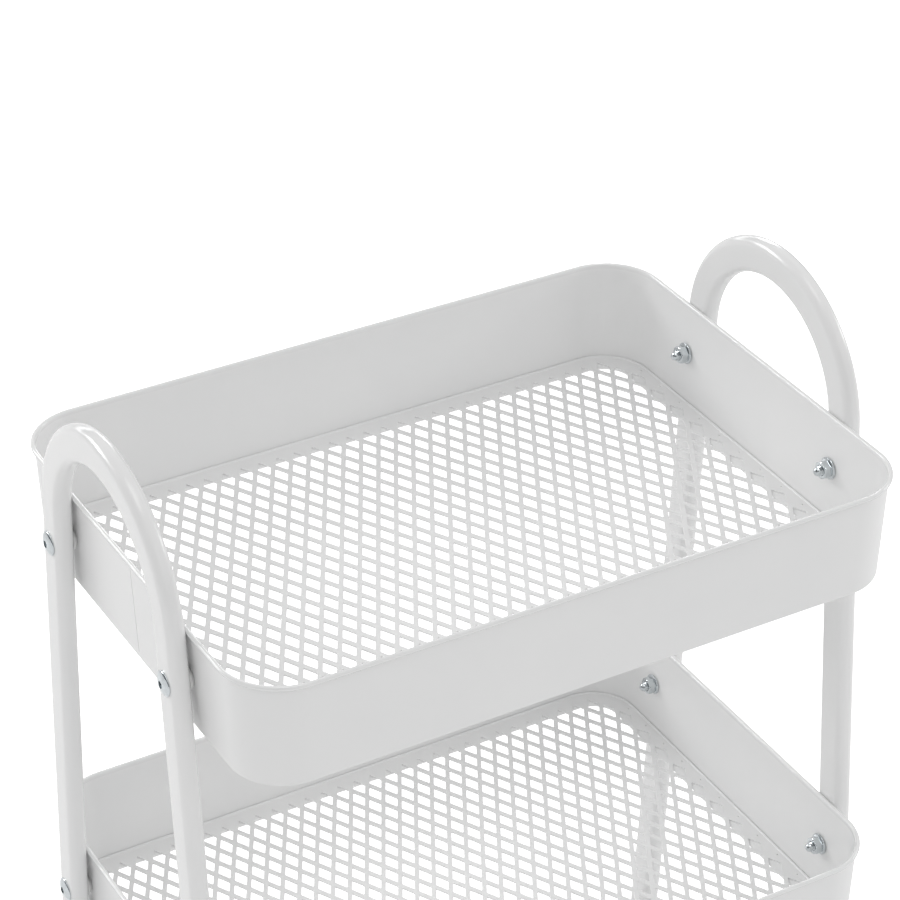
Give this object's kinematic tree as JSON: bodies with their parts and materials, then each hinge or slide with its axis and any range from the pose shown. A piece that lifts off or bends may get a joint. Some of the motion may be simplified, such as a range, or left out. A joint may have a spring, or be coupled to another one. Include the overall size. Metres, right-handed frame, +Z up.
{
  "type": "rolling utility cart",
  "caption": "White steel utility cart on swivel casters: mesh-floored baskets bolted between bent-tube end frames with arched handles.",
  "frame": {"origin": "on the floor, under the middle of the cart's footprint", "axes": "+Z up, X along the baskets from the left end frame to the right end frame, Y across the baskets; -Y is the cart's front long side"},
  "size_m": [0.4618, 0.3492, 0.78],
  "materials": {
    "powder_coat": "satin white powder coat",
    "zinc": "bright zinc-plated steel",
    "white_plastic": "moulded white nylon, satin",
    "lever_plastic": "moulded grey nylon, satin",
    "tyre": "grey thermoplastic rubber"
  },
  "bodies": {
    "cart": {"left_end_frame": "powder_coat", "right_end_frame": "powder_coat", "top_basket_wall": "powder_coat", "top_basket_floor": "powder_coat", "top_bolts": "zinc", "top_flange_nuts": "zinc", "top_spacers": "white_plastic", "middle_basket_wall": "powder_coat", "middle_basket_floor": "powder_coat", "middle_bolts": "zinc", "middle_flange_nuts": "zinc", "middle_spacers": "white_plastic", "bottom_basket_wall": "powder_coat", "bottom_basket_floor": "powder_coat", "bottom_bolts": "zinc", "bottom_flange_nuts": "zinc", "bottom_spacers": "white_plastic", "front_left_leg_plug": "white_plastic", "front_left_caster_stem": "zinc", "front_right_leg_plug": "white_plastic", "front_right_caster_stem": "zinc", "rear_left_leg_plug": "white_plastic", "rear_left_caster_stem": "zinc", "rear_right_leg_plug": "white_plastic", "rear_right_caster_stem": "zinc"},
    "front_left_swivel": {"front_left_caster_fork": "zinc", "front_left_bearing_cup": "zinc", "front_left_bearing_balls": "zinc", "front_left_axle": "zinc", "front_left_brake_pin": "zinc"},
    "front_left_wheel": {"front_left_hub": "white_plastic", "front_left_tyre": "tyre"},
    "front_left_brake": {"front_left_brake_lever": "lever_plastic"},
    "front_right_swivel": {"front_right_caster_fork": "zinc", "front_right_bearing_cup": "zinc", "front_right_bearing_balls": "zinc", "front_right_axle": "zinc"},
    "front_right_wheel": {"front_right_hub": "white_plastic", "front_right_tyre": "tyre"},
    "rear_left_swivel": {"rear_left_caster_fork": "zinc", "rear_left_bearing_cup": "zinc", "rear_left_bearing_balls": "zinc", "rear_left_axle": "zinc"},
    "rear_left_wheel": {"rear_left_hub": "white_plastic", "rear_left_tyre": "tyre"},
    "rear_right_swivel": {"rear_right_caster_fork": "zinc", "rear_right_bearing_cup": "zinc", "rear_right_bearing_balls": "zinc", "rear_right_axle": "zinc", "rear_right_brake_pin": "zinc"},
    "rear_right_wheel": {"rear_right_hub": "white_plastic", "rear_right_tyre": "tyre"},
    "rear_right_brake": {"rear_right_brake_lever": "lever_plastic"}
  },
  "joints": [
    {"name": "front_left_swivel", "type": "hinge", "parent": "cart", "child": "front_left_swivel", "pos_m": [-0.2159, -0.11958, 0.056], "axis": [0, 0, 1], "continuous": true},
    {"name": "front_left_roll", "type": "hinge", "parent": "front_left_swivel", "child": "front_left_wheel", "pos_m": [-0.2159, -0.13758, 0.025], "axis": [1, 0, 0], "continuous": true},
    {"name": "front_left_brake_tip", "type": "hinge", "parent": "front_left_swivel", "child": "front_left_brake", "pos_m": [-0.2159, -0.15557, 0.0525], "axis": [1, 0, 0], "range_deg": [0, 12]},
    {"name": "front_right_swivel", "type": "hinge", "parent": "cart", "child": "front_right_swivel", "pos_m": [0.2159, -0.11958, 0.056], "axis": [0, 0, 1], "continuous": true},
    {"name": "front_right_roll", "type": "hinge", "parent": "front_right_swivel", "child": "front_right_wheel", "pos_m": [0.2159, -0.13758, 0.025], "axis": [1, 0, 0], "continuous": true},
    {"name": "rear_left_swivel", "type": "hinge", "parent": "cart", "child": "rear_left_swivel", "pos_m": [-0.2159, 0.11958, 0.056], "axis": [0, 0, 1], "continuous": true},
    {"name": "rear_left_roll", "type": "hinge", "parent": "rear_left_swivel", "child": "rear_left_wheel", "pos_m": [-0.2159, 0.13758, 0.025], "axis": [1, 0, 0], "continuous": true},
    {"name": "rear_right_swivel", "type": "hinge", "parent": "cart", "child": "rear_right_swivel", "pos_m": [0.2159, 0.11958, 0.056], "axis": [0, 0, 1], "continuous": true},
    {"name": "rear_right_roll", "type": "hinge", "parent": "rear_right_swivel", "child": "rear_right_wheel", "pos_m": [0.2159, 0.13758, 0.025], "axis": [1, 0, 0], "continuous": true},
    {"name": "rear_right_brake_tip", "type": "hinge", "parent": "rear_right_swivel", "child": "rear_right_brake", "pos_m": [0.2159, 0.15557, 0.0525], "axis": [-1, 0, 0], "range_deg": [0, 12]}
  ]
}
